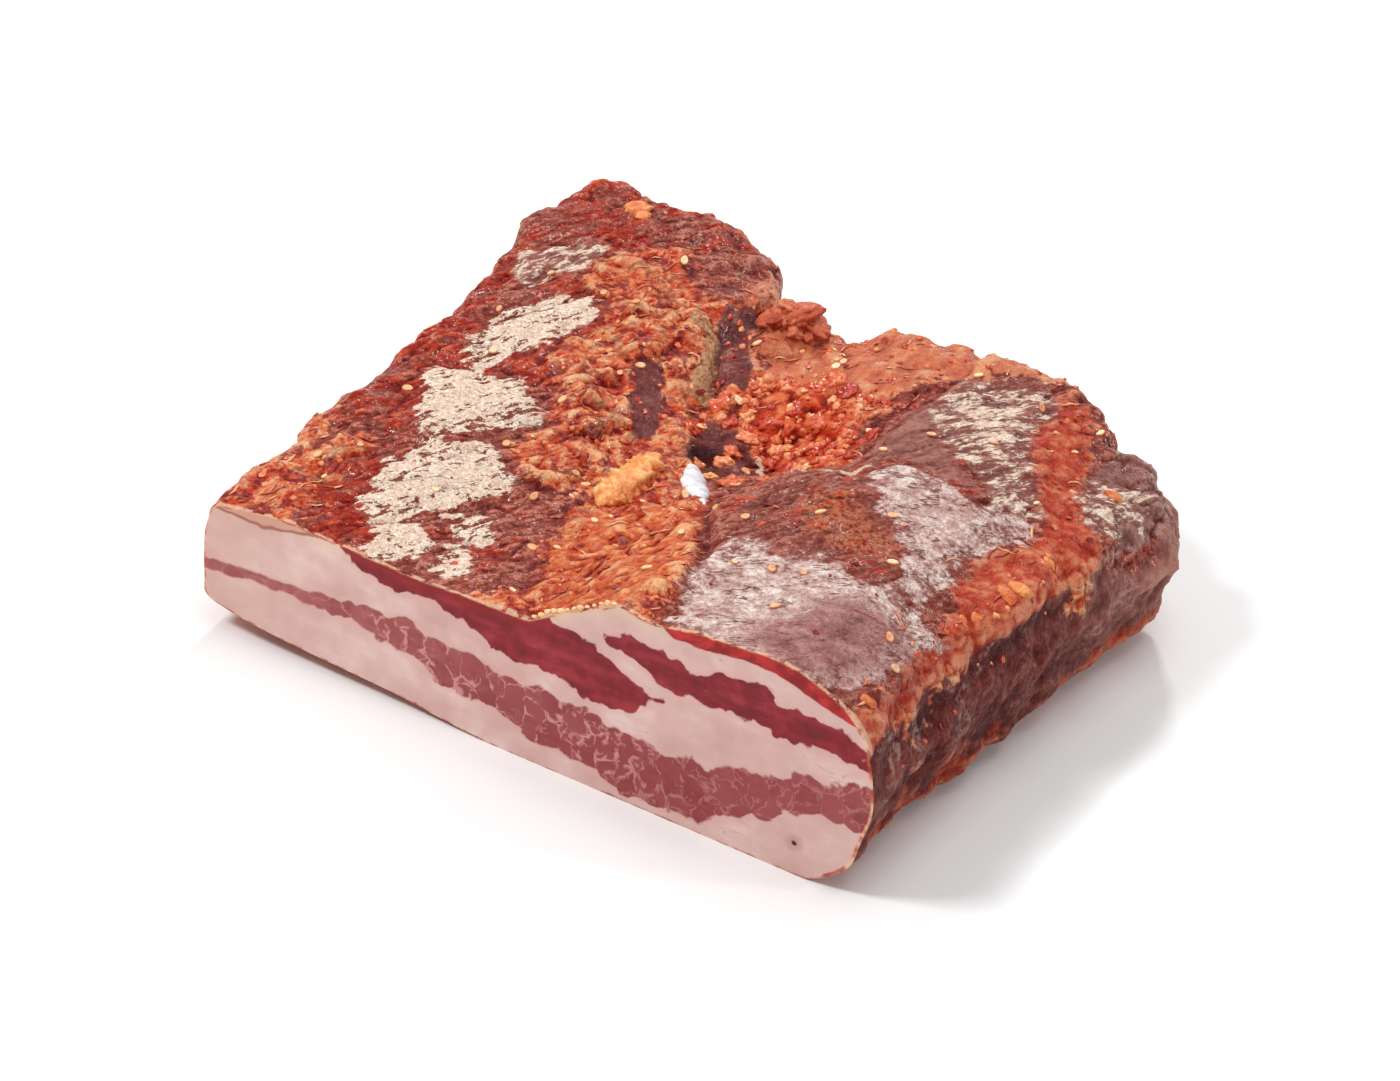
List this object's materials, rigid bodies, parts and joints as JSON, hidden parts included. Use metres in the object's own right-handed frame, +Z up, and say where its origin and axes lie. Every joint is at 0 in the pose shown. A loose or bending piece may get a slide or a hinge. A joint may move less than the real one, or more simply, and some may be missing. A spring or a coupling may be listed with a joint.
{
  "type": "pancetta",
  "caption": "Piece of flat spiced pancetta, rubbed with chilli on the outside, with one straight cut face that shows its layers of fat and lean.",
  "frame": {"origin": "centre of the bounding box's underside, on the surface that the piece rests on", "axes": "+X along the cut face towards the thick end, +Y from the cut face towards the far end, +Z up"},
  "size_m": [0.2169, 0.21, 0.0592],
  "materials": {
    "fat_lower": "cured pork fat, pinkish white where cut and rubbed orange-red with chilli outside",
    "lean_lower": "cured streaky lean, rosy with fine white marbling where cut",
    "fat_upper": "cured pork fat, pinkish white where cut and rubbed orange-red with chilli outside",
    "lean_inner": "dark cured lean, wine red where cut and dry with pale bloom outside",
    "lean_outer": "dark cured lean, wine red where cut and maroon-brown outside",
    "lean_cap": "dried lean skin, dull maroon-brown with a grey-white bloom"
  },
  "bodies": {
    "root": {"fat_lower": "fat_lower", "lean_lower": "lean_lower", "fat_upper": "fat_upper", "lean_inner": "lean_inner", "lean_outer": "lean_outer", "lean_cap": "lean_cap"}
  },
  "joints": []
}
